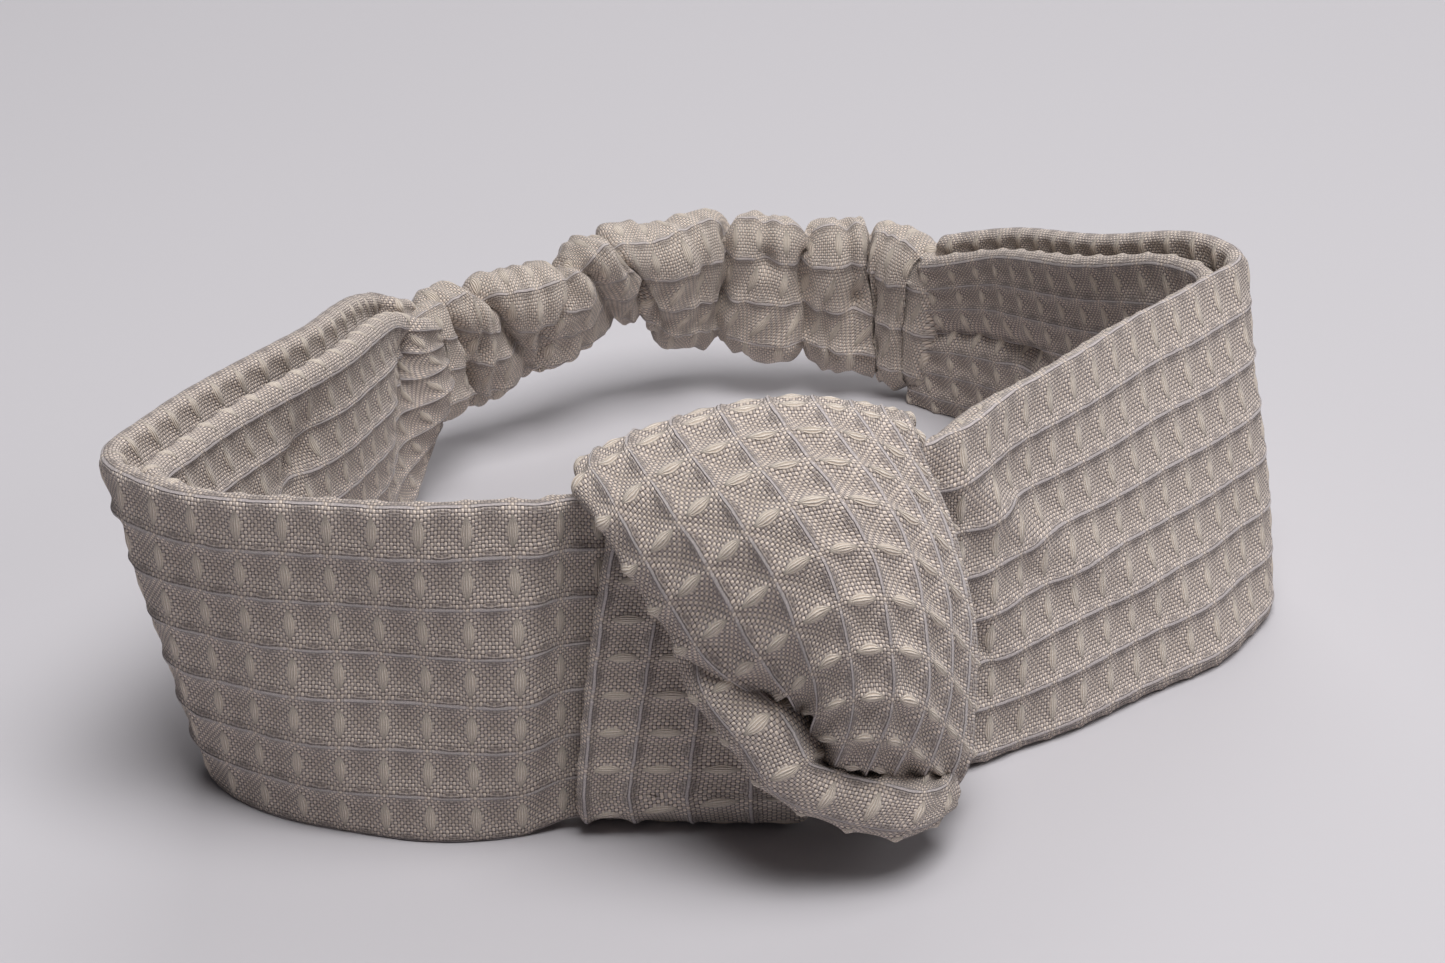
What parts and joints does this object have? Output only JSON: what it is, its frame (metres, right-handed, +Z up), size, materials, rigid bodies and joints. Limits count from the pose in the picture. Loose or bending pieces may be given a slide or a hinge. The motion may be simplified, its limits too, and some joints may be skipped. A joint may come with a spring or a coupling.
{
  "type": "knotted headband",
  "caption": "Soft twist-knot headband in waffle-weave cloth, with two interlocked fabric strips at the front and a ruched elastic casing at the back.",
  "frame": {"origin": "on the table, under the middle of the loop's outline", "axes": "+Z up, -Y towards the knot, +X to the right as seen facing the knot"},
  "size_m": [0.1726, 0.1811, 0.0613],
  "materials": {
    "strip_cloth": "grey and cream waffle weave",
    "casing_cloth": "the same waffle weave, ruched",
    "elastic": "white woven elastic",
    "thread": "matt grey sewing thread"
  },
  "bodies": {
    "front_band": {"left_strip_outer_ply": "strip_cloth", "left_strip_inner_ply": "strip_cloth", "left_strip_knot_bend": "strip_cloth", "right_strip_outer_ply": "strip_cloth", "right_strip_inner_ply": "strip_cloth", "right_strip_knot_bend": "strip_cloth", "left_strip_seam_thread": "thread", "right_strip_seam_thread": "thread"},
    "back_elastic": {"elastic_casing": "casing_cloth", "flat_elastic": "elastic", "casing_seam_thread": "thread", "left_join_seam_thread": "thread", "right_join_seam_thread": "thread", "left_elastic_tack": "thread", "right_elastic_tack": "thread"}
  },
  "joints": [
    {"name": "elastic_stretch", "type": "slide", "parent": "front_band", "child": "back_elastic", "axis": [0, 1, 0], "range_m": [0, 0.02], "stiffness_N_per_m": 150}
  ]
}
